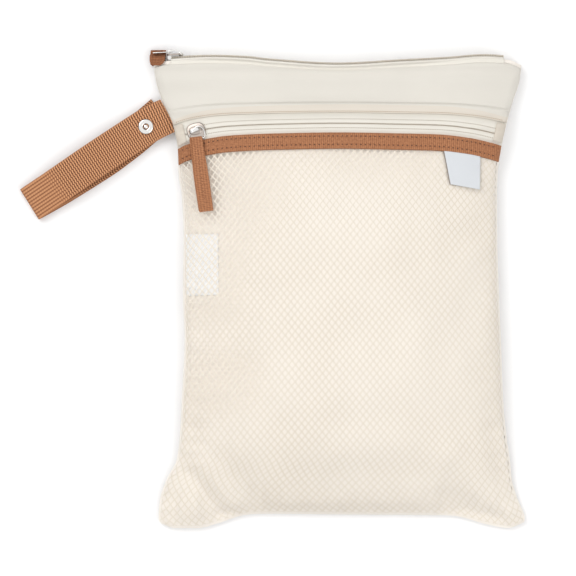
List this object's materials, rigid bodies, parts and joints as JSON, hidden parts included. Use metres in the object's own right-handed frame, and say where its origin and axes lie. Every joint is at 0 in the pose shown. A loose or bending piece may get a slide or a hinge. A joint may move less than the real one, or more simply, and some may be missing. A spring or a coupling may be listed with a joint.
{
  "type": "cloth diaper wet bag",
  "caption": "Flat cloth wet bag with a zipped mouth, a zipped net pocket on its front and a webbing strap closed by a snap.",
  "frame": {"origin": "middle of the bag's flat back, on the surface that it lies on", "axes": "+Z out of the front, +Y towards the zipped mouth, +X towards the side without the strap"},
  "size_m": [0.3594, 0.3422, 0.037],
  "materials": {
    "cream_cloth": "matte coated cloth",
    "satin_cloth": "smooth satin sheen",
    "net": "knitted net, plain sheet here",
    "brown_grosgrain": "ribbed grosgrain",
    "brown_webbing": "ribbed webbing",
    "zip_tape": "woven zip tape",
    "zip_coil": "nylon coil",
    "silver_metal": "bright nickel plate",
    "white_label": "smooth woven label, blank"
  },
  "bodies": {
    "bag": {"back_panel": "cream_cloth", "front_panel": "cream_cloth", "upper_band": "satin_cloth", "mesh_pocket": "net", "pocket_binding": "brown_grosgrain", "pocket_zip_tape_lower": "zip_tape", "pocket_zip_tape_upper": "zip_tape", "pocket_zip_coil": "zip_coil", "pocket_zip_end_left": "cream_cloth", "pocket_zip_end_right": "cream_cloth", "top_zip_tape_front": "zip_tape", "top_zip_tape_back": "zip_tape", "top_zip_coil": "zip_coil", "top_zip_slider": "silver_metal", "top_zip_end_tab": "brown_grosgrain", "pocket_zip_slider": "silver_metal", "pocket_pull_ring": "silver_metal", "pocket_pull_tape": "brown_grosgrain", "strap": "brown_webbing", "snap_cap": "silver_metal", "snap_stud": "silver_metal", "flag_label": "white_label", "care_label": "white_label"},
    "mouth_pull": {"top_zip_pull": "silver_metal"}
  },
  "joints": [
    {"name": "mouth_pull_swing", "type": "hinge", "parent": "bag", "child": "mouth_pull", "pos_m": [-0.12066, 0.1703, 0.00809], "axis": [0, 0, -1], "range_deg": [0, 145]}
  ]
}
